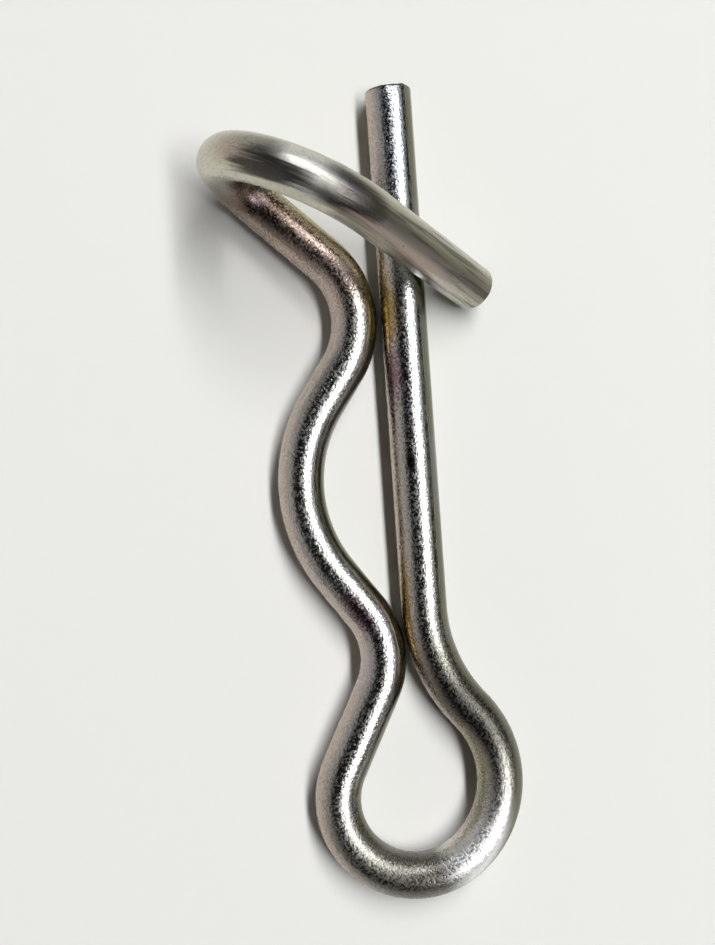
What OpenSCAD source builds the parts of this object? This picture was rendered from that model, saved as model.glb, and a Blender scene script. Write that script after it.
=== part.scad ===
// Hitch R clip pin with a lock hook, bent from one length of round spring wire.
// The clip lies flat in the XY plane. The straight leg runs along Y through the origin,
// which is where the axis of the held shaft (parallel to Z) crosses the axis of the leg.
// The wire goes from the leg's tip round the eye, back past the shaft and over the leg.

/* [Wire] */
// Diameter of the wire
wire_d = 4; // [3:0.1:5]
// Bevel on the rims of the two cut ends
end_bevel = 0.25; // [0.05:0.05:0.6]

/* [Straight leg] */
// From the shaft's axis to the cut tip of the leg
leg_tip = 34.4; // [28:0.2:60]

/* [Shaft seat] */
// Diameter of the shaft that the clip holds
shaft_d = 16; // [10:0.5:24]
// How much closer than the shaft's surface the relaxed seat lies, for grip
seat_grip = 0.05; // [0:0.05:0.5]
// How much larger than the shaft's radius the seat's inside radius is, so that it wedges on
seat_relief = 3; // [1:0.25:6]

/* [Humps beside the leg] */
// Inside radius of the neck hump's bend, on the eye's side of the shaft
neck_r = 4.7; // [2.5:0.1:7]
// Gap between the neck hump and the leg
neck_gap = 0.15; // [0.1:0.05:1]
// Straight wire between the seat and the neck hump
neck_flank = 4.3; // [1:0.1:8]
// Inside radius of the lip hump's bend, on the tip's side of the shaft
lip_r = 5.5; // [2.5:0.1:8]
// Gap between the lip hump and the leg
lip_gap = 0.35; // [0.1:0.05:1]
// Straight wire between the seat and the lip hump
lip_flank = 3.5; // [1:0.1:8]

/* [Eye] */
// How far past the leg's heel, where it starts to swing out, the middle of the neck hump lies
neck_drop = 3.9; // [1:0.1:6]
// Inside radius of the throat's bend, which swings the leg out to the eye
throat_r = 12; // [8:0.25:18]
// Inside radius of the first part of the eye
entry_r = 6.75; // [4:0.25:10]
// Angle of the first part of the eye, in degrees
entry_angle = 94; // [60:1:120]
// Inside radius of the rest of the eye
eye_r = 4.7; // [3:0.1:7]
// Straight wire between the eye and the neck hump
eye_flank = 7.4; // [3:0.1:12]

/* [Lock hook] */
// Lean of the tail away from the leg, in degrees
tail_lean = 46; // [25:1:65]
// Gap between the hook's straight end and the leg that it passes
hook_gap = 0.65; // [0.1:0.05:1]
// Inside radius of the bend that stands the wire up
rise_r = 2.5; // [1.5:0.1:3.9]
// Angle of that bend, in degrees
rise_angle = 80; // [60:1:100]
// Inside radius of the arch over the leg
arch_r = 5.8; // [4.5:0.1:8]
// Angle of the arch, in degrees
arch_angle = 146; // [125:1:165]
// Twist of the arch's plane towards the leg, in degrees
arch_twist = 17; // [8:0.5:26]
// Height of the hook's end above the surface that the clip lies on
hook_lift = 0.2; // [0.1:0.05:0.8]

/* [Hidden] */
$fn = 48;

wire_r = wire_d / 2;
shaft_r = shaft_d / 2;
steel = "#a3a297";

// Radii of the wire's centre line at each bend.
seat_c = shaft_r + seat_relief + wire_r;
neck_c = neck_r + wire_r;
lip_c = lip_r + wire_r;
throat_c = throat_r + wire_r;
entry_c = entry_r + wire_r;
eye_c = eye_r + wire_r;
rise_c = rise_r + wire_r;
arch_c = arch_r + wire_r;

// Ways that a bend turns, and the quarter turn that stands the hook's foot up.
LEFT = 1;
RIGHT = -1;
stand_up = 90;

// How much thinner every other stretch of wire is, and how far it laps into its neighbours.
hair = 0.02;
joint_lap = 0.05;

function heading(a) = [cos(a), sin(a)];

// The wire is bent round posts. A post is [centre, radius, side], with the side that the wire
// turns to. Between two posts it runs straight, along the line that touches both.
function run_heading(from, to, run) =
    atan2(to[0][1] - from[0][1], to[0][0] - from[0][0])
    - atan2(to[2] * to[1] - from[2] * from[1], run);

// The seat's wire touches the shaft beside its axis. Each hump lies as far up or down the leg
// as the flank between it and the seat takes.
seat_x = seat_c - (shaft_r - seat_grip + wire_r);
function hump_y(x, r, flank) = sqrt(pow(seat_c + r, 2) + pow(flank, 2) - pow(seat_x - x, 2));
seat_post = [[seat_x, 0], seat_c, RIGHT];

lip_x = -(wire_d + lip_gap + lip_c);
lip_post = [[lip_x, hump_y(lip_x, lip_c, lip_flank)], lip_c, LEFT];

// The neck hump lies beside the throat's bend, and the leg's heel is neck_drop above it.
neck_dist = throat_c + neck_c + wire_d + neck_gap;
neck_lean = asin(neck_drop / neck_dist);
neck_x = throat_c - neck_dist * cos(neck_lean);
neck_y = hump_y(neck_x, neck_c, neck_flank);
neck_post = [[neck_x, -neck_y], neck_c, LEFT];
leg_heel = neck_y - neck_drop;

// The throat's bend swings the eye out until the flank to the neck hump has its length. The
// centres of throat, neck and eye make a triangle of three known sides.
eye_arm = [throat_c + entry_c, 0] - (entry_c - eye_c) * heading(-entry_angle);
eye_dist = norm([eye_c + neck_c, eye_flank]);
eye_corner = acos((pow(neck_dist, 2) + pow(norm(eye_arm), 2) - pow(eye_dist, 2))
                  / (2 * neck_dist * norm(eye_arm)));
throat_angle = neck_lean + eye_corner - atan2(eye_arm[1], eye_arm[0]);
eye_heading = throat_angle - 90 - entry_angle;
eye_centre = [throat_c, -leg_heel] - (throat_c + entry_c) * heading(throat_angle)
    + (eye_c - entry_c) * heading(eye_heading - 90);
eye_post = [eye_centre, eye_c, RIGHT];

// Headings of the straight flanks and the tail, in degrees from +X.
to_neck = run_heading(eye_post, neck_post, eye_flank);
to_seat = run_heading(neck_post, seat_post, neck_flank);
to_lip = run_heading(seat_post, lip_post, lip_flank);
tail_heading = 90 + tail_lean;

// The hook, as [along the tail, to its right, up]: the wire's direction where the arch starts,
// the way that the arch turns it, and the arch's end seen from the foot of the hook.
arch_start = [cos(rise_angle), 0, sin(rise_angle)];
arch_turn = [-sin(rise_angle) * cos(arch_twist), sin(arch_twist), cos(rise_angle) * cos(arch_twist)];
arch_end = rise_c * [sin(rise_angle), 0, 1 - cos(rise_angle)]
    + arch_c * (sin(arch_angle) * arch_start + (1 - cos(arch_angle)) * arch_turn);
end_run = cos(arch_angle) * arch_start + sin(arch_angle) * arch_turn;

// Its straight end runs down until its rim is hook_lift above the surface below.
end_fall = -end_run[2];
end_z = hook_lift - wire_r + wire_r * sqrt(1 - pow(end_fall, 2));
end_l = (arch_end[2] - end_z) / end_fall;

// Seen along the leg, the straight end passes it at hook_gap. The tail is as long as that takes.
function across(v) = v[0] * cos(tail_heading) + v[1] * cos(tail_heading - 90);
end_across = across(end_run);
end_x = ((wire_d + hook_gap) * norm([end_across, end_fall]) - arch_end[2] * end_across) / end_fall;
tail_x = lip_x + lip_c * cos(tail_lean);
tail_l = (end_x - across(arch_end) - tail_x) / cos(tail_heading);

// The wire from the leg's heel to the end of the arch. A straight run is [length]. A bend is
// [centre line's radius, angle, side, twist of the bend's plane about the wire].
stretches = [
    [throat_c, throat_angle, LEFT, 0],
    [entry_c, entry_angle, RIGHT, 0],
    [eye_c, 360 - (to_neck - eye_heading), RIGHT, 0],
    [eye_flank],
    [neck_c, to_seat - to_neck, LEFT, 0],
    [neck_flank],
    [seat_c, to_seat - to_lip, RIGHT, 0],
    [lip_flank],
    [lip_c, tail_heading - to_lip, LEFT, 0],
    [tail_l],
    [rise_c, rise_angle, LEFT, stand_up],
    [arch_c, arch_angle, LEFT, arch_twist],
];

// Each stretch starts at its own origin, heads along its own +Y and has its right on +X. It is
// drawn at radius r and runs past both its ends by lap.
module straight(l, r = wire_r, lap = 0) {
    translate([0, -lap, 0]) rotate([-90, 0, 0]) cylinder(h = l + 2 * lap, r = r);
}

module bend(bend_r, angle, side, r = wire_r, lap = 0) {
    lap_angle = lap / bend_r * 180 / PI;
    translate([-side * bend_r, 0, 0])
        rotate_extrude(start = (side == LEFT ? 0 : 180) - side * lap_angle,
                       angle = side * (angle + 2 * lap_angle))
            translate([bend_r, 0]) circle(r);
}

module past_bend(bend_r, angle, side) {
    translate([-side * bend_r, 0, 0]) rotate([0, 0, side * angle])
        translate([side * bend_r, 0, 0]) children();
}

// A straight run that ends in a cut face with a bevelled rim.
module cut_end(l, r = wire_r, lap = 0) {
    translate([0, -lap, 0]) rotate([-90, 0, 0]) cylinder(h = l - end_bevel + lap, r = r);
    translate([0, l - end_bevel, 0]) rotate([-90, 0, 0])
        cylinder(h = end_bevel, r1 = r, r2 = r - end_bevel);
}

// Lays the stretches end to end, and ends the last one in a cut face. Every other stretch is
// a hair thinner and laps into its neighbours, so that the joints are inside the wire.
module wire(i = 0) {
    thin = i % 2 == 0;
    r = thin ? wire_r - hair : wire_r;
    lap = thin ? joint_lap : 0;
    if (i == len(stretches)) {
        cut_end(end_l, r, lap);
    } else {
        s = stretches[i];
        if (len(s) == 1) {
            straight(s[0], r, lap);
            translate([0, s[0], 0]) wire(i + 1);
        } else {
            rotate([0, s[3], 0]) {
                bend(s[0], s[1], s[2], r, lap);
                past_bend(s[0], s[1], s[2]) wire(i + 1);
            }
        }
    }
}

module clip() {
    color(steel) translate([0, -leg_heel, 0]) {
        cut_end(leg_heel + leg_tip);
        rotate([0, 0, 180]) wire();
    }
}

clip();
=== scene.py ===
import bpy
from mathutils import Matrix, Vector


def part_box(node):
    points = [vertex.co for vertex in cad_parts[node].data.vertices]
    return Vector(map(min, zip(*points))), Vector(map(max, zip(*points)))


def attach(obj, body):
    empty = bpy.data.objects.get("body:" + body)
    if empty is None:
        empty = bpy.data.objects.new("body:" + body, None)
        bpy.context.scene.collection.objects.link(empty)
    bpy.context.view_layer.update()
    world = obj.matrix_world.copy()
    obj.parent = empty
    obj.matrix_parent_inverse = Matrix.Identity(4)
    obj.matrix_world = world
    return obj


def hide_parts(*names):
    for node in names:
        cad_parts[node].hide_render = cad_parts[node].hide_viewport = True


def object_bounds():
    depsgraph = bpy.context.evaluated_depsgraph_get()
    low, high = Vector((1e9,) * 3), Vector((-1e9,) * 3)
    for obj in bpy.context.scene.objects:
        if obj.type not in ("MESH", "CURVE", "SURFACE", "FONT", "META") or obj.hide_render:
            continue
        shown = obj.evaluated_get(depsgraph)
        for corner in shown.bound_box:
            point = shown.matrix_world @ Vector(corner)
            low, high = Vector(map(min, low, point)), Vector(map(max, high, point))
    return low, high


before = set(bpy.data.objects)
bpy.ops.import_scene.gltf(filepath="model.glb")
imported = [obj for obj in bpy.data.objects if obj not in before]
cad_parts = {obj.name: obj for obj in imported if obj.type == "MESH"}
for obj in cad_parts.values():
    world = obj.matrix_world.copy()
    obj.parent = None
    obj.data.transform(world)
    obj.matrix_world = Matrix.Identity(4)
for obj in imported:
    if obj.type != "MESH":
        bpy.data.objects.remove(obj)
solidBox = [list(corner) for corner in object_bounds()]

import math

import bpy
from mathutils import Matrix, Vector

mm = 0.001
left, right = 1, -1


def toLinear(hexColour):
    channels = [int(hexColour[i:i + 2], 16) / 255 for i in (1, 3, 5)]
    return [c / 12.92 if c <= 0.04045 else ((c + 0.055) / 1.055) ** 2.4 for c in channels] + [1.0]


def onlyActive(piece):
    bpy.ops.object.select_all(action="DESELECT")
    piece.select_set(True)
    bpy.context.view_layer.objects.active = piece


print("bending the wire")
# millimetres and degrees
clipSize = {
    "wireDiameter": 4.0,
    "shaftDiameter": 16.0,
    "seatGrip": 0.05,
    "seatRelief": 3.0,        # how much larger than the shaft the seat's bend is
    "neckRadius": 4.7,        # all bend radii are on the inside of the wire
    "neckGap": 0.15,
    "neckFlank": 4.3,         # straight wire between seat and neck hump
    "lipRadius": 5.5,
    "lipGap": 0.35,
    "lipFlank": 3.5,          # straight wire between seat and lip hump
    "neckDrop": 3.9,          # neck hump's middle past the leg's heel
    "throatRadius": 12.0,
    "entryRadius": 6.75,
    "entryAngle": 94.0,
    "eyeRadius": 4.7,
    "eyeFlank": 7.4,          # straight wire between eye and neck hump
    "tailLean": 46.0,
    "hookGap": 0.65,
    "riseRadius": 2.5,
    "riseAngle": 80.0,
    "archRadius": 5.8,
    "archAngle": 146.0,
    "archTwist": 17.0,
    "hookLift": 0.2,
    "endRim": 0.25,           # how round the cropped ends are
    "rimSteps": 4,
    "faceRings": 6,           # rings across a cropped end
    "cropLean": 2.5,          # degrees that the crop leans across the leg
    "burrPlace": (1.35, 1.5),     # across and above the middle of the leg's cropped tip
    "burrHeight": 0.16,
    "burrWidth": 0.7,
    "ringSides": 64,          # edges round the wire
    "bendStep": 2.5,          # degrees between rings in a bend
    "runStep": 1.5,           # and millimetres between them in a straight run
    "sharpAngle": 40.0,       # degrees above which an edge is shaded sharp
}


def heading(degrees):
    return Vector((math.cos(math.radians(degrees)), math.sin(math.radians(degrees))))


def runHeading(start, end, run):
    # heading of the straight wire that touches two posts, each (centre, radius, side)
    step = end[0] - start[0]
    return math.degrees(math.atan2(step.y, step.x)
                        - math.atan2(end[2] * end[1] - start[2] * start[1], run))


def wireStretches(size):
    # the wire from the leg's heel to the hook's end, as ("run", length) or
    # ("bend", radius, angle, side, twist)
    wire = size["wireDiameter"] / 2
    shaft = size["shaftDiameter"] / 2
    seat = shaft + size["seatRelief"] + wire
    neck, lip, throat, entry, eye, rise, arch = (
        size[name + "Radius"] + wire
        for name in ("neck", "lip", "throat", "entry", "eye", "rise", "arch"))
    seatX = seat - (shaft - size["seatGrip"] + wire)

    def humpY(x, radius, flank):
        return math.sqrt((seat + radius) ** 2 + flank ** 2 - (seatX - x) ** 2)

    lipX = -(2 * wire + size["lipGap"] + lip)
    seatPost = (Vector((seatX, 0)), seat, right)
    lipPost = (Vector((lipX, humpY(lipX, lip, size["lipFlank"]))), lip, left)
    neckDist = throat + neck + 2 * wire + size["neckGap"]
    neckLean = math.asin(size["neckDrop"] / neckDist)
    neckX = throat - neckDist * math.cos(neckLean)
    neckY = humpY(neckX, neck, size["neckFlank"])
    neckPost = (Vector((neckX, -neckY)), neck, left)
    heel = neckY - size["neckDrop"]
    eyeArm = Vector((throat + entry, 0)) - (entry - eye) * heading(-size["entryAngle"])
    eyeDist = math.hypot(eye + neck, size["eyeFlank"])
    corner = math.acos((neckDist ** 2 + eyeArm.length ** 2 - eyeDist ** 2)
                       / (2 * neckDist * eyeArm.length))
    throatAngle = math.degrees(neckLean + corner - math.atan2(eyeArm.y, eyeArm.x))
    eyeHeading = throatAngle - 90 - size["entryAngle"]
    eyeCentre = (Vector((throat, -heel)) - (throat + entry) * heading(throatAngle)
                 + (eye - entry) * heading(eyeHeading - 90))
    eyePost = (eyeCentre, eye, right)
    toNeck = runHeading(eyePost, neckPost, size["eyeFlank"])
    toSeat = runHeading(neckPost, seatPost, size["neckFlank"])
    toLip = runHeading(seatPost, lipPost, size["lipFlank"])
    tail = 90 + size["tailLean"]

    # the hook, as (along the tail, to its right, up)
    riseTurn, archTurn, twist = (
        math.radians(size[name]) for name in ("riseAngle", "archAngle", "archTwist"))
    archStart = Vector((math.cos(riseTurn), 0, math.sin(riseTurn)))
    archSide = Vector((-math.sin(riseTurn) * math.cos(twist), math.sin(twist),
                       math.cos(riseTurn) * math.cos(twist)))
    archEnd = (rise * Vector((math.sin(riseTurn), 0, 1 - math.cos(riseTurn)))
               + arch * (math.sin(archTurn) * archStart + (1 - math.cos(archTurn)) * archSide))
    endRun = math.cos(archTurn) * archStart + math.sin(archTurn) * archSide
    fall = -endRun.z
    endZ = size["hookLift"] - wire + wire * math.sqrt(1 - fall ** 2)

    def across(v):
        return v.x * heading(tail).x + v.y * heading(tail - 90).x

    endX = ((2 * wire + size["hookGap"]) * math.hypot(across(endRun), fall)
            - archEnd.z * across(endRun)) / fall
    tailX = lipX + lip * math.cos(math.radians(size["tailLean"]))
    tailLength = (endX - across(archEnd) - tailX) / heading(tail).x
    return heel, [
        ("bend", throat, throatAngle, left, 0),
        ("bend", entry, size["entryAngle"], right, 0),
        ("bend", eye, 360 - (toNeck - eyeHeading), right, 0),
        ("run", size["eyeFlank"]),
        ("bend", neck, toSeat - toNeck, left, 0),
        ("run", size["neckFlank"]),
        ("bend", seat, toSeat - toLip, right, 0),
        ("run", size["lipFlank"]),
        ("bend", lip, tail - toLip, left, 0),
        ("run", tailLength),
        ("bend", rise, size["riseAngle"], left, 90),
        ("bend", arch, size["archAngle"], left, size["archTwist"]),
        ("run", (archEnd.z - endZ) / fall),
    ]


def wireLength(size):
    # metres from the leg's tip to the hook's end, along the middle of the wire
    heel, stretches = wireStretches(size)
    lengths = [stretch[1] if stretch[0] == "run" else stretch[1] * math.radians(stretch[2])
               for stretch in stretches]
    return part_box("clip")[1].y + mm * (heel + sum(lengths))


def closeEnd(place, size):
    # closes the selected ring, at place, with a round rim and a face drawn in to its middle
    wire, rim = size["wireDiameter"] / 2 * mm, size["endRim"] * mm
    ahead = place.to_3x3() @ Vector((0, 1, 0))
    rings = []
    for step in range(1, size["rimSteps"] + 1):
        turn = math.pi / 2 * step / size["rimSteps"]
        rings.append((rim * math.sin(turn), wire - rim * (1 - math.cos(turn))))
    for step in range(1, size["faceRings"]):
        rings.append((rim, (wire - rim) * (1 - step / size["faceRings"])))
    reach, radius = 0, wire
    for newReach, newRadius in rings:
        bpy.ops.mesh.extrude_region_move(
            TRANSFORM_OT_translate={"value": ahead * (newReach - reach)})
        bpy.ops.transform.resize(value=(newRadius / radius,) * 3,
                                 center_override=place.translation + ahead * newReach)
        reach, radius = newReach, newRadius
    bpy.ops.mesh.edge_face_add()


def selectPast(piece, y):
    # selects the edited vertices past y, and nothing else
    bpy.ops.mesh.select_all(action="DESELECT")
    bpy.ops.object.mode_set(mode="OBJECT")
    for vertex in piece.data.vertices:
        vertex.select = vertex.co.y > y
    bpy.ops.object.mode_set(mode="EDIT")


def bendWire(size):
    wire = size["wireDiameter"] / 2 * mm
    rim = size["endRim"] * mm
    lean = math.radians(size["cropLean"])
    heel, stretches = wireStretches(size)
    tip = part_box("clip")[1].y - rim - wire * math.sin(lean)
    bpy.ops.object.select_all(action="DESELECT")
    bpy.ops.mesh.primitive_circle_add(
        vertices=size["ringSides"], radius=wire, location=(0, tip, 0), rotation=(math.pi / 2, 0, 0))
    clip = bpy.context.active_object
    clip.name = "bent_wire"
    bpy.ops.object.transform_apply(location=True, rotation=True, scale=True)
    bpy.ops.object.mode_set(mode="EDIT")
    bpy.ops.mesh.select_all(action="SELECT")
    # the place of the wire's end while it is bent: +Y ahead, +X to its right, +Z up
    place = Matrix.Translation((0, tip, 0)) @ Matrix.Rotation(math.pi, 4, "Z")
    stretches[-1] = ("run", stretches[-1][1] - size["endRim"])
    for stretch in [("run", tip / mm + heel)] + stretches:
        if stretch[0] == "run":
            steps = math.ceil(stretch[1] / size["runStep"])
            ahead = Vector((0, stretch[1] * mm / steps, 0))
            for step in range(steps):
                bpy.ops.mesh.extrude_region_move(
                    TRANSFORM_OT_translate={"value": place.to_3x3() @ ahead})
            place = place @ Matrix.Translation(ahead * steps)
        else:
            radius, angle, side, twist = stretch[1:]
            place = place @ Matrix.Rotation(math.radians(twist), 4, "Y")
            toCentre = Matrix.Translation((-side * radius * mm, 0, 0))
            centre = (place @ toCentre).translation
            axis = place.to_3x3() @ Vector((0, 0, -side))
            bpy.ops.mesh.spin(steps=round(angle / size["bendStep"]), angle=math.radians(angle),
                              center=centre, axis=axis)
            place = (place @ toCentre @ Matrix.Rotation(side * math.radians(angle), 4, "Z")
                     @ toCentre.inverted())
    closeEnd(place, size)
    selectPast(clip, tip - rim / 2)
    closeEnd(Matrix.Translation((0, tip, 0)), size)

    # the crop leans across the leg and leaves a burr on its rim
    selectPast(clip, tip - rim / 2)
    bpy.ops.transform.rotate(value=-lean, orient_axis="Z", center_override=(0, tip, 0))
    bpy.ops.mesh.select_all(action="DESELECT")
    bpy.ops.object.mode_set(mode="OBJECT")
    across, above = size["burrPlace"]
    burr = min((vertex for vertex in clip.data.vertices if vertex.co.y > tip + rim / 2),
               key=lambda vertex: math.hypot(vertex.co.x - across * mm, vertex.co.z - above * mm))
    burr.select = True
    bpy.ops.object.mode_set(mode="EDIT")
    bpy.ops.transform.translate(
        value=(0, size["burrHeight"] * mm, 0), use_proportional_edit=True,
        proportional_edit_falloff="SHARP", proportional_size=size["burrWidth"] * mm)
    bpy.ops.object.mode_set(mode="OBJECT")
    return clip


clip = bendWire(clipSize)
onlyActive(clip)
bpy.ops.object.mode_set(mode="EDIT")
bpy.ops.mesh.select_all(action="SELECT")
bpy.ops.mesh.normals_make_consistent(inside=False)
bpy.ops.object.mode_set(mode="OBJECT")
bpy.ops.object.shade_smooth_by_angle(angle=math.radians(clipSize["sharpAngle"]))


print("finishing the wire")


def addNode(tree, kind, settings=None, links=None):
    # a node of this kind, with its settings by property or socket name and its links by socket name
    node = tree.nodes.new(kind)
    for name, value in (settings or {}).items():
        if isinstance(name, str) and name not in node.inputs:
            setattr(node, name, value)
        else:
            node.inputs[name].default_value = value
    for name, source in (links or {}).items():
        tree.links.new(source, node.inputs[name])
    return node


def emptyMaterial(name):
    made = bpy.data.materials.new(name)
    made.use_nodes = True
    made.node_tree.nodes.clear()
    return made


def drawOut(piece, size):
    # keeps each point's place on the straight wire, so that grain and lines follow every bend,
    # how far it faces right and up, and whether it is on a cropped end
    sides = size["ringSides"]
    capRings = size["rimSteps"] + size["faceRings"] - 1
    points = [vertex.co for vertex in piece.data.vertices]
    rings = [points[start:start + sides] for start in range(0, len(points), sides)]
    middles = [sum(ring, Vector()) / sides for ring in rings]
    places, flanks, rises, crops = [], [], [], []
    along, ahead = 0, 1
    for number, ring in enumerate(rings):
        last = number - 1
        if number == len(rings) - capRings:     # the leg's tip is closed last
            last, along, ahead = 0, 0, -1
        along += ahead * (middles[number] - middles[last]).length if number else 0
        for corner, point in enumerate(ring):
            out, turn = point - middles[number], 2 * math.pi * corner / sides
            places += [out.length * math.cos(turn), out.length * math.sin(turn), along]
            flanks.append(out.normalized().x)
            rises.append(out.normalized().z)
            crops.append(float(number >= len(rings) - 2 * capRings))
    piece.data.attributes.new("drawn", "FLOAT_VECTOR", "POINT").data.foreach_set("vector", places)
    for name, values in (("flank", flanks), ("rise", rises), ("cropped", crops)):
        piece.data.attributes.new(name, "FLOAT", "POINT").data.foreach_set("value", values)


plateFinish = {
    # by share of the wire's length from the leg's tip: the film's colour with painted highlights
    # (the white and pale stops on the eye and on the arch) and painted shade (the darkest stops, in
    # the throat, on the eye's bottom, on the tail and past the arch), and how dull the plate is
    "filmAndPaintedLight": {0.0: ("#b0b4ba", 0.0), 0.2: ("#b0b0ab", 0.0), 0.245: ("#a5a49e", 0.1),
              0.268: ("#6d6b63", 0.35), 0.285: ("#43413b", 0.45), 0.315: ("#47453f", 0.45),
              0.342: ("#a3a199", 0.6), 0.36: ("#ffffff", 0.7), 0.378: ("#ffffff", 0.7),
              0.39: ("#84817a", 0.6), 0.405: ("#716e65", 0.5), 0.445: ("#93918a", 0.4),
              0.48: ("#adada9", 0.0), 0.7: ("#afafab", 0.0), 0.725: ("#b5a398", 0.25),
              0.755: ("#9c897f", 0.3), 0.77: ("#55463e", 0.25), 0.79: ("#695950", 0.25),
              0.81: ("#8f8075", 0.3), 0.825: ("#aeae9f", 0.4), 0.837: ("#8f8d80", 0.35),
              0.85: ("#9a978a", 0.3), 0.862: ("#8d8b80", 0.3), 0.869: ("#8f8d86", 0.6),
              0.875: ("#d8d7d1", 0.75), 0.887: ("#cbcac3", 0.75), 0.892: ("#716f68", 0.6),
              0.897: ("#3b3934", 0.5), 0.914: ("#524d4a", 0.5), 0.94: ("#665c5c", 0.5),
              1.0: ("#746668", 0.4)},
    # shares over which the hook, and its straight end past the arch, come up
    "hook": (0.8, 0.84),
    "pastArch": (0.875, 0.9),
    # the cream on the hook's rims is a painted reflection, bare where the plate faces this far up
    # and full where it faces less far up
    "rimRise": (0.7, 0.45),   # how far up the plate faces where the hook's rim is bare and full
    # colour, the values of what it follows between which it comes up, and how strong it gets
    # the rose tint on the left flank is film colour with a painted reflection, the dark olive on
    # the right flank film colour with painted shade
    "tints": {"roseFilmAndPaintedReflection": ("#b9a79b", 0.25, 0.8, 0.9),
              "oliveFilmAndPaintedShade": ("#71705c", 0.45, 0.75, 1.0),
              "paintedRimReflection": ("#c4c1ae", 0.0, 1.0, 1.0),
              "hookStreak": ("#45413c", 0.48, 0.62, 0.7),
              "goldFlank": ("#a8894c", 0.5, 0.62, 0.6),
              "speck": ("#6c6c70", 0.5, 0.6, 0.2),
              "violetPatch": ("#9a92ac", 0.56, 0.7, 0.3),
              "croppedEnd": ("#55564a", 0.0, 1.0, 1.0),
              "pit": ("#22241f", 0.72, 0.76, 1.0)},
    # on the straight wire: place, width, length, what frays the edge, and colour
    "spots": {"darkOnLeg": ((1.97, 0.35, 32.3), 0.9, 1.8, "grain", "#22241f"),
              "goldByLip": ((1.5, 1.32, 19.4), 2.4, 7.0, "grain", "#a8894c"),
              "mauveByLip": ((1.5, 1.32, 24.6), 2.0, 6.0, "grain", "#8c6c74"),
              "goldByNeck": ((1.1, 1.65, 45.0), 1.6, 11.0, "grain", "#a8894c"),
              "oliveInEye": ((1.0, 1.7, 61.0), 2.4, 16.0, "grain", "#98957c"),
              "mauveOnNeck": ((1.9, -0.6, 102.5), 1.8, 5.0, "grain", "#8c6c74"),
              "oliveOnTail": ((1.0, 1.7, 137.0), 2.4, 19.0, "grain", "#b0a67c"),
              "roseOnHook": ((-0.85, -1.8, 173.5), 1.8, 14.0, "streaks", "#a39089"),
              # the dark patch on the arch beside its highlight is painted shade
              "paintedShadeOnArch": ((-1.45, -1.35, 160.2), 2.2, 7.0, "streaks", "#3f3d38")},
    "spotFray": 2.5,          # how far the fraying noise moves a spot's edge
    "spotEdge": (-0.3, -0.75),
    "spotStrength": 0.9,
    "patch": 3.2,             # mm across one patch of gold or violet
    "patchLength": 9.0,
    "grain": 0.19,            # mm across one speck of the plate, drawn coarser than it is
    "grainHeight": 0.04,
    "grainRange": (0.45, 0.58),
    "line": 0.12,             # mm between drawing lines, coarser than they are too
    "lineLength": 3.0,
    "lineHeight": 0.03,
    "streak": 0.5,            # mm across a dark streak on the hook
    "streakLength": 7.0,
    "pitSize": 0.5,           # mm across the noise that the rare pits come from
    "smooth": 0.09,           # roughness of the bright specks, and of the dark ones
    "rough": 0.31,
    "dullGrain": 0.28,        # what the dullest plate adds to both
    "satin": 0.16,            # roughness where lines take the grain's place: bright, and dull
    "dull": 0.46,
    "dullLines": 2.0,         # how soon the hook's dull plate turns to lines
    "flankLines": (0.4, 0.65, 0.6),     # where the right flank does so, and how far
}


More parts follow.
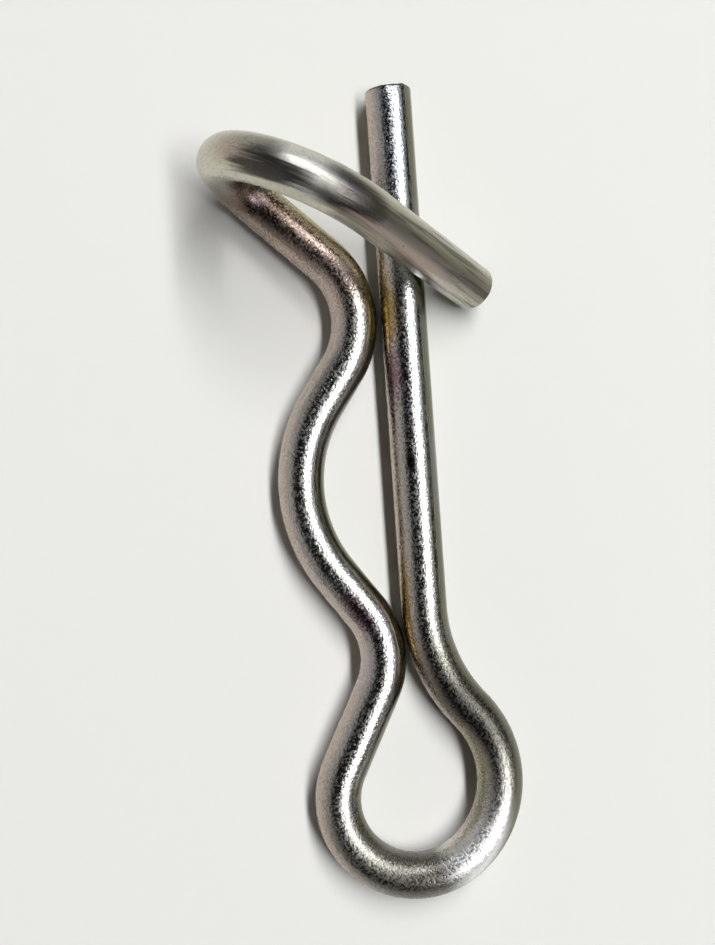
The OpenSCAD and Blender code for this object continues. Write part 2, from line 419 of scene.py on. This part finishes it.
def plateWire(finish, length):
    # yellow-passivated zinc plate on drawn spring wire: the plate's grain breaks each reflection
    # into bright and dark specks, the drawing lines smear it on the hook, and the thin film of
    # passivate tints it, rose on one flank and olive on the other, with patches of gold and violet.
    # The rose flank also carries a painted reflection and the darker olive flank painted shade, the
    # hook's rims a painted cream reflection, and the colours along the wire painted highlights and
    # shade.
    plated = emptyMaterial("yellow_passivated_zinc_plate")
    tree = plated.node_tree
    drawn = addNode(tree, "ShaderNodeAttribute", {"attribute_name": "drawn"}).outputs["Vector"]
    flank, rise, cropped = (
        addNode(tree, "ShaderNodeAttribute", {"attribute_name": name}).outputs["Fac"]
        for name in ("flank", "rise", "cropped"))

    grain = addNode(tree, "ShaderNodeTexNoise",
                    {"Scale": 1 / (finish["grain"] * mm), "Detail": 2}, {"Vector": drawn})
    pitting = addNode(tree, "ShaderNodeTexNoise",
                      {"Scale": 1 / (finish["pitSize"] * mm), "Detail": 3}, {"Vector": drawn})
    # patterns that are stretched along the wire
    lines, streaks, patches = (
        addNode(tree, "ShaderNodeTexNoise",
                {"Scale": 1 / (finish[name] * mm), "Detail": detail},
                {"Vector": addNode(tree, "ShaderNodeMapping",
                                   {"Scale": (1, 1, finish[name] / finish[name + "Length"])},
                                   {"Vector": drawn}).outputs["Vector"]})
        for name, detail in (("line", 2), ("streak", 3), ("patch", 2)))
    patch = addNode(tree, "ShaderNodeSeparateColor", links={"Color": patches.outputs["Color"]})
    grain, pitting, lines, streaks = (
        noise.outputs["Fac"] for noise in (grain, pitting, lines, streaks))

    along = addNode(tree, "ShaderNodeSeparateXYZ", links={"Vector": drawn}).outputs["Z"]
    share = addNode(tree, "ShaderNodeMapRange", {"From Max": length},
                    {"Value": along}).outputs["Result"]
    # the film's colour along the wire, its stops carrying painted highlights and painted shade as
    # well
    filmAndLightRamp = addNode(tree, "ShaderNodeValToRGB", links={"Fac": share})
    stops = filmAndLightRamp.color_ramp.elements
    stops.remove(stops[1])
    for number, (place, (tint, dullness)) in enumerate(finish["filmAndPaintedLight"].items()):
        stop = stops.new(place) if number else stops[0]
        stop.position, stop.color = place, toLinear(tint)[:3] + [dullness]
    colour, dull = filmAndLightRamp.outputs["Color"], filmAndLightRamp.outputs["Alpha"]

    # on the hook the rims get a painted cream reflection, and past the arch dark streaks run along
    # the top
    hook, pastArch = (
        addNode(tree, "ShaderNodeMapRange", {"From Min": low, "From Max": high},
                {"Value": share}).outputs["Result"]
        for low, high in (finish["hook"], finish["pastArch"]))
    bare, full = finish["rimRise"]
    paintedRimReflection = addNode(tree, "ShaderNodeMapRange", {"From Min": bare, "From Max": full},
                       {"Value": rise, "To Max": hook}).outputs["Result"]
    hookStreak = addNode(tree, "ShaderNodeMath", {"operation": "MULTIPLY"},
                         {0: streaks, 1: pastArch}).outputs[0]
    leftFlank, rightFlank = (
        addNode(tree, "ShaderNodeMath", {"operation": "MULTIPLY", 1: side}, {0: flank}).outputs[0]
        for side in (-1.0, 1.0))
    goldFlank = addNode(tree, "ShaderNodeMath", {"operation": "MULTIPLY"},
                        {0: leftFlank, 1: patch.outputs["Red"]}).outputs[0]

    # how far a point is from each spot, in the spot's own size, with its edge frayed
    fraying = {"grain": grain, "streaks": streaks}
    spots = []
    for place, width, reachAlong, edge, tint in finish["spots"].values():
        away = addNode(tree, "ShaderNodeVectorMath",
                       {"operation": "SUBTRACT", 1: [part * mm for part in place]}, {0: drawn})
        sized = addNode(tree, "ShaderNodeVectorMath",
                        {"operation": "MULTIPLY",
                         1: (2 / width / mm, 2 / width / mm, 2 / reachAlong / mm)},
                        {0: away.outputs["Vector"]})
        reach = addNode(tree, "ShaderNodeVectorMath", {"operation": "LENGTH"},
                        {0: sized.outputs["Vector"]})
        frayed = addNode(tree, "ShaderNodeMath",
                         {"operation": "MULTIPLY_ADD", 1: -finish["spotFray"]},
                         {0: fraying[edge], 2: reach.outputs["Value"]})
        spots.append((frayed.outputs[0], (tint, *finish["spotEdge"], finish["spotStrength"])))

    # every tint over the one before it
    tints = finish["tints"]
    for source, (tint, low, high, strength) in (
            # the flank tints are painted reflection and painted shade by side, as well as film
            # colour, and the cream on the hook's rims is a painted reflection
            (leftFlank, tints["roseFilmAndPaintedReflection"]),
            (rightFlank, tints["oliveFilmAndPaintedShade"]),
            (paintedRimReflection, tints["paintedRimReflection"]),
            (hookStreak, tints["hookStreak"]),
            (goldFlank, tints["goldFlank"]),
            (grain, tints["speck"]),
            (patch.outputs["Green"], tints["violetPatch"]),
            *spots,
            (cropped, tints["croppedEnd"]),
            (pitting, tints["pit"])):
        amount = addNode(tree, "ShaderNodeMapRange",
                         {"From Min": low, "From Max": high, "To Max": strength},
                         {"Value": source}).outputs["Result"]
        colour = addNode(tree, "ShaderNodeMix", {"data_type": "RGBA", 7: toLinear(tint)},
                         {"Factor": amount, 6: colour}).outputs[2]

    # the grain gives way to drawing lines where the hook is dull, and partly on the right flank
    low, high, strength = finish["flankLines"]
    flankLines = addNode(tree, "ShaderNodeMapRange",
                         {"From Min": low, "From Max": high, "To Max": strength},
                         {"Value": rightFlank}).outputs["Result"]
    hookDull = addNode(tree, "ShaderNodeMath", {"operation": "MULTIPLY"},
                       {0: dull, 1: hook}).outputs[0]
    lineShare = addNode(tree, "ShaderNodeMath",
                        {"operation": "MULTIPLY_ADD", 1: finish["dullLines"]},
                        {0: hookDull, 2: flankLines}).outputs[0]
    lineHeight = addNode(tree, "ShaderNodeMath",
                         {"operation": "MULTIPLY",
                          1: finish["lineHeight"] / finish["grainHeight"]},
                         {0: lines}).outputs[0]
    height = addNode(tree, "ShaderNodeMix", {"data_type": "FLOAT"},
                     {"Factor": lineShare, 2: grain, 3: lineHeight}).outputs[0]
    bump = addNode(tree, "ShaderNodeBump", {"Distance": finish["grainHeight"] * mm},
                   {"Height": height})
    low, high = finish["grainRange"]
    grainRough = addNode(tree, "ShaderNodeMapRange",
                         {"From Min": low, "From Max": high, "To Min": finish["smooth"],
                          "To Max": finish["rough"]}, {"Value": grain}).outputs["Result"]
    dullGrain = addNode(tree, "ShaderNodeMath",
                        {"operation": "MULTIPLY_ADD", 1: finish["dullGrain"]},
                        {0: dull, 2: grainRough}).outputs[0]
    satinRough = addNode(tree, "ShaderNodeMapRange",
                         {"To Min": finish["satin"], "To Max": finish["dull"]},
                         {"Value": dull}).outputs["Result"]
    roughness = addNode(tree, "ShaderNodeMix", {"data_type": "FLOAT"},
                        {"Factor": lineShare, 2: dullGrain, 3: satinRough}).outputs[0]
    shader = addNode(tree, "ShaderNodeBsdfPrincipled", {"Metallic": 1.0},
                     {"Base Color": colour, "Roughness": roughness,
                      "Normal": bump.outputs["Normal"]})
    addNode(tree, "ShaderNodeOutputMaterial", links={"Surface": shader.outputs["BSDF"]})
    return plated


drawOut(clip, clipSize)
clip.data.materials.append(plateWire(plateFinish, wireLength(clipSize)))

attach(clip, "root")
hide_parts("clip")

print("setting the table")
# metres
floorSize = {"width": 1.8, "colour": "#ecece8", "roughness": 0.75, "shine": 0.2}


def layFloor(size):
    bpy.ops.object.select_all(action="DESELECT")
    bpy.ops.mesh.primitive_plane_add(size=size["width"], location=(0, 0, solidBox[0][2]))
    floor = bpy.context.active_object
    floor.name = "pale_floor"
    # a matt board that the wire's shadow shows on, with hardly any sheen
    board = emptyMaterial("matt_white_board")
    shader = addNode(board.node_tree, "ShaderNodeBsdfPrincipled",
                     {"Base Color": toLinear(size["colour"]), "Roughness": size["roughness"],
                      "Specular IOR Level": size["shine"]})
    addNode(board.node_tree, "ShaderNodeOutputMaterial", links={"Surface": shader.outputs["BSDF"]})
    floor.data.materials.append(board)


layFloor(floorSize)

# metres and watts. A long strip lights the table, and the cards and a dark screen are what the
# metal mirrors.
stripLight = {"x": 0.78, "y": 0.8, "height": 2.0, "width": 0.28, "length": 2.8, "power": 70.0}
windowCard = {"x": 1.28, "y": -0.25, "height": 2.0, "width": 1.1, "length": 2.7, "power": 76.0}
wideCard = {"x": 2.65, "y": 0.0, "height": 2.1, "width": 4.4, "length": 4.4, "power": 46.0}
upperCard = {"x": 0.3, "y": 1.75, "height": 2.0, "width": 0.9, "length": 1.5, "power": 30.0}
leftCard = {"x": -4.7, "y": 0.0, "height": 2.0, "width": 5.6, "length": 5.0, "power": 44.0}
darkScreen = {"x": 4.8, "width": 6.0, "height": 1.6, "colour": "#2c2c2a"}
# brightness of the walls and the ceiling, and how steeply up the ceiling starts and the walls end
roomLight = {"wall": 0.75, "ceiling": 0.012, "wallTop": 0.4, "wallFoot": 0.1,
             "colour": "#fffefa"}


def hangLight(name, size, lights, mirrored):
    # lights: whether it lights the table; mirrored: whether the metal shows it
    lamp = bpy.data.lights.new(name, "AREA")
    lamp.shape = "RECTANGLE"
    lamp.size, lamp.size_y = size["width"], size["length"]
    lamp.energy = size["power"]
    lampObject = bpy.data.objects.new(name, lamp)
    bpy.context.scene.collection.objects.link(lampObject)
    lampObject.location = (size["x"], size["y"], size["height"])
    lampObject.visible_diffuse, lampObject.visible_glossy = lights, mirrored
    lampObject.visible_camera = False


def standScreen(size):
    bpy.ops.object.select_all(action="DESELECT")
    bpy.ops.mesh.primitive_plane_add(size=1, rotation=(0, math.pi / 2, 0),
                                     location=(size["x"], 0,
                                               solidBox[0][2] + size["height"] / 2))
    screen = bpy.context.active_object
    screen.name = "dark_screen"
    screen.scale = (size["height"], size["width"], 1)
    bpy.ops.object.transform_apply(location=True, rotation=True, scale=True)
    # a dark cloth with no sheen at all, seen only in the metal
    cloth = emptyMaterial("matt_grey_cloth")
    shader = addNode(cloth.node_tree, "ShaderNodeBsdfPrincipled",
                     {"Base Color": toLinear(size["colour"]), "Roughness": 1.0,
                      "Specular IOR Level": 0.0})
    addNode(cloth.node_tree, "ShaderNodeOutputMaterial", links={"Surface": shader.outputs["BSDF"]})
    screen.data.materials.append(cloth)
    screen.visible_camera = False
    screen.visible_diffuse = False


def paintRoom(size):
    # a dim ceiling over pale walls
    world = bpy.data.worlds.new("plain_room")
    bpy.context.scene.world = world
    world.use_nodes = True
    tree = world.node_tree
    tree.nodes.clear()
    ahead = addNode(tree, "ShaderNodeTexCoord").outputs["Generated"]
    height = addNode(tree, "ShaderNodeSeparateXYZ", links={"Vector": ahead})
    room = addNode(tree, "ShaderNodeMapRange",
                   {"interpolation_type": "SMOOTHSTEP", "From Min": size["wallFoot"],
                    "From Max": size["wallTop"], "To Min": size["wall"],
                    "To Max": size["ceiling"]}, {"Value": height.outputs["Z"]})
    sky = addNode(tree, "ShaderNodeBackground", {"Color": toLinear(size["colour"])},
                  {"Strength": room.outputs["Result"]})
    addNode(tree, "ShaderNodeOutputWorld", links={"Surface": sky.outputs["Background"]})


hangLight("strip_light", stripLight, True, False)
hangLight("window_card", windowCard, False, True)
hangLight("wide_card", wideCard, False, True)
hangLight("left_card", leftCard, False, True)
hangLight("upper_card", upperCard, False, True)
standScreen(darkScreen)
paintRoom(roomLight)

# millimetres and degrees, with the clipping in metres
cameraPlace = {"x": -6.63, "y": 1.058, "height": 118.0, "turn": (0.104, -0.804, -4.02),
               "lens": 51.5, "sensor": 36.0, "clip": (0.01, 20.0)}


def setCamera(size):
    lens = bpy.data.cameras.new("camera")
    lens.lens, lens.sensor_width = size["lens"], size["sensor"]
    lens.clip_start, lens.clip_end = size["clip"]
    eye = bpy.data.objects.new("camera", lens)
    bpy.context.scene.collection.objects.link(eye)
    eye.location = (size["x"] * mm, size["y"] * mm, size["height"] * mm)
    eye.rotation_euler = [math.radians(a) for a in size["turn"]]
    bpy.context.scene.camera = eye


setCamera(cameraPlace)
bpy.context.scene.view_settings.view_transform = "Standard"
